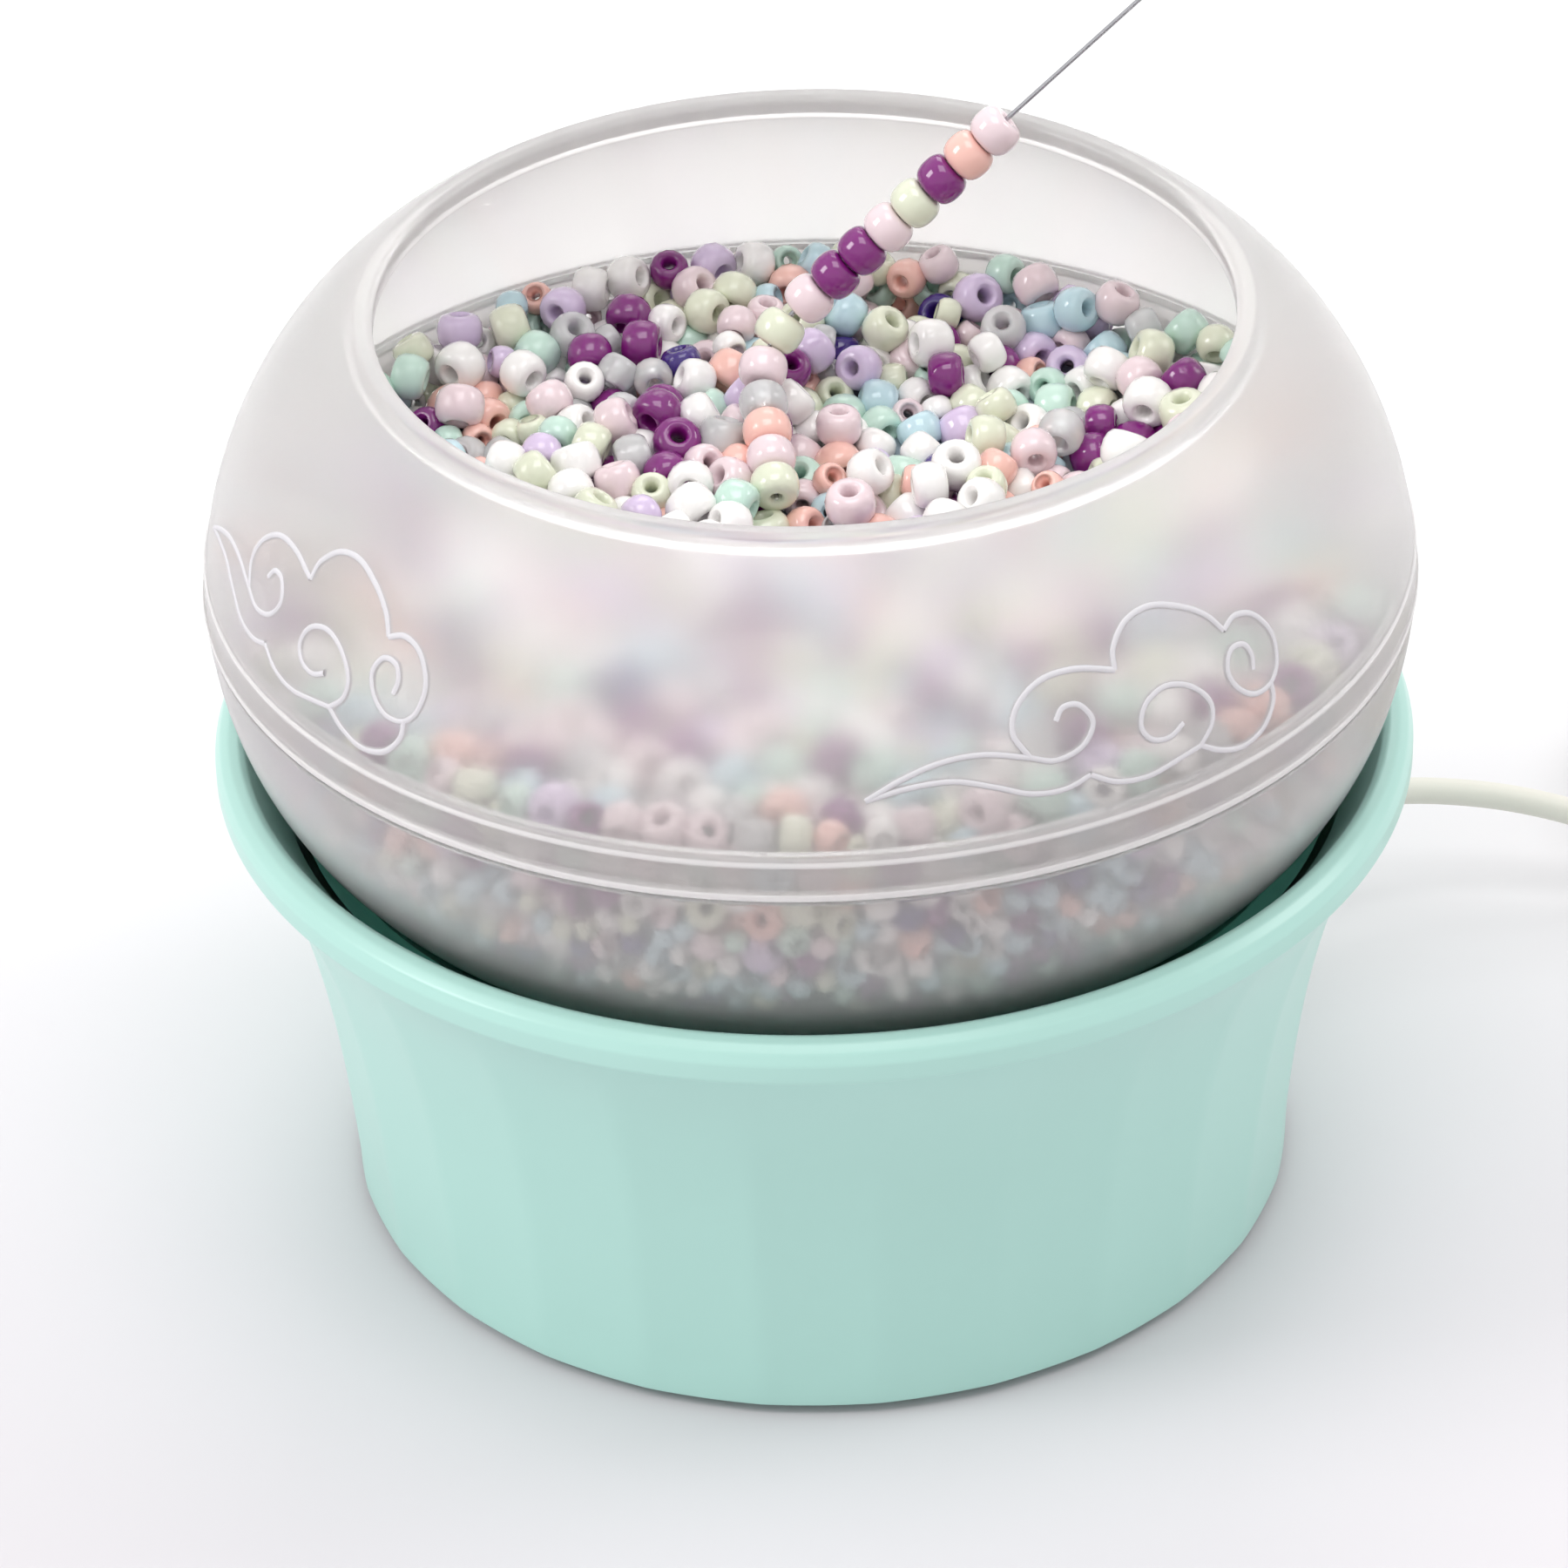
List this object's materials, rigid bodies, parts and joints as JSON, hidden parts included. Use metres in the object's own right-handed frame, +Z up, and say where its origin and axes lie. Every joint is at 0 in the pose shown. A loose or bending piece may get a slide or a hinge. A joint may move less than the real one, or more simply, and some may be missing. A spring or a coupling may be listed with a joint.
{
  "type": "electric bead spinner",
  "caption": "Flared motor base with a frosted, domed bowl of loose beads that spins on a geared spindle, a hooked beading needle leaning in its mouth, and a coiled USB lead with a speed dial.",
  "frame": {"origin": "middle of the base's footprint, on the table that the rubber feet stand on", "axes": "+Z up along the spindle; -Y towards the viewer of the picture; the lead leaves at the back right, 35 degrees from +X towards +Y"},
  "size_m": [0.2108, 0.1492, 0.1234],
  "materials": {
    "shell_plastic": "satin moulded mint",
    "well_plastic": "satin moulded mint",
    "frosted_plastic": "frosted translucent",
    "foot_rubber": "matt",
    "screw_steel": "zinc plated",
    "motor_steel": "plated can",
    "shaft_steel": "ground",
    "needle_steel": "polished wire",
    "plug_steel": "nickel plated",
    "terminal_brass": "tinned",
    "bush_bronze": "sintered bronze",
    "winding_copper": "enamelled wire",
    "magnet": "dark",
    "gear_plastic": "natural acetal",
    "board": "solder mask",
    "capacitor_sleeve": "sleeve",
    "wire_red": "wire insulation",
    "wire_black": "wire insulation",
    "lead_white": "flexible off-white sheath",
    "tie_paper": "paper-covered tie",
    "box_plastic": "satin off-white",
    "bead_mix": "mixed beads",
    "bead_white": "glossy",
    "bead_green": "pearl",
    "bead_pink": "glossy",
    "bead_purple": "translucent",
    "bead_blue": "translucent"
  },
  "bodies": {
    "base": {"base_shell": "shell_plastic", "bowl_well": "well_plastic", "bottom_cover": "well_plastic", "rubber_feet": "foot_rubber", "cover_screws": "screw_steel", "gear_plate": "gear_plastic", "plate_screws": "screw_steel", "motor_can": "motor_steel", "motor_end_cap": "gear_plastic", "motor_terminals": "terminal_brass", "motor_magnets": "magnet", "motor_screws": "screw_steel", "upper_bush": "bush_bronze", "lower_bush": "bush_bronze", "thrust_washer": "gear_plastic", "circuit_board": "board", "board_capacitor": "capacitor_sleeve", "lead_socket": "gear_plastic", "board_screws": "screw_steel", "lead_red": "wire_red", "lead_black": "wire_black", "inner_lead": "lead_white", "cord_gland": "lead_white", "cord_run": "lead_white", "cord_coil": "lead_white", "coil_tie": "tie_paper", "cord_link": "lead_white", "box_sleeves": "lead_white", "box_lower": "box_plastic", "box_upper": "box_plastic", "box_screws": "screw_steel", "speed_board": "board", "speed_pot": "magnet", "cord_tail": "lead_white", "plug_grip": "box_plastic", "plug_shell": "plug_steel", "plug_tongue": "gear_plastic"},
    "motor_rotor": {"motor_shaft": "shaft_steel", "armature": "winding_copper", "pinion": "gear_plastic"},
    "spindle": {"spindle_shaft": "shaft_steel", "drive_gear": "gear_plastic", "drive_hub": "gear_plastic", "retaining_clip": "shaft_steel", "hub_screw": "screw_steel"},
    "bowl": {"lower_bowl": "frosted_plastic", "bead_load": "bead_mix", "beads_white": "bead_white", "beads_green": "bead_green", "beads_pink": "bead_pink", "beads_purple": "bead_purple", "beads_blue": "bead_blue"},
    "cover": {"upper_cover": "frosted_plastic"},
    "needle": {"needle_wire": "needle_steel", "strung_beads": "bead_mix"},
    "speed_dial": {"pot_shaft": "shaft_steel", "speed_knob": "shell_plastic"}
  },
  "joints": [
    {"name": "spindle_spin", "type": "hinge", "parent": "base", "child": "spindle", "pos_m": [0, 0, 0.025], "axis": [0, 0, 1], "continuous": true},
    {"name": "motor_spin", "type": "hinge", "parent": "base", "child": "motor_rotor", "pos_m": [-0.02359, -0.01652, 0.012], "axis": [0, 0, 1], "continuous": true},
    {"name": "bowl_lift", "type": "slide", "parent": "spindle", "child": "bowl", "axis": [0, 0, 1], "range_m": [0, 0.06]},
    {"name": "cover_lift", "type": "slide", "parent": "bowl", "child": "cover", "axis": [0, 0, 1], "range_m": [0, 0.05]},
    {"name": "needle_lift", "type": "slide", "parent": "cover", "child": "needle", "axis": [0, 0, 1], "range_m": [0, 0.07]},
    {"name": "speed_turn", "type": "hinge", "parent": "base", "child": "speed_dial", "pos_m": [0.14, -0.007, 0.01], "axis": [0, 0, 1], "range_deg": [-270, 0]}
  ],
  "couplings": [
    {"joint": "motor_spin", "follows": "spindle_spin", "ratio": -5}
  ]
}
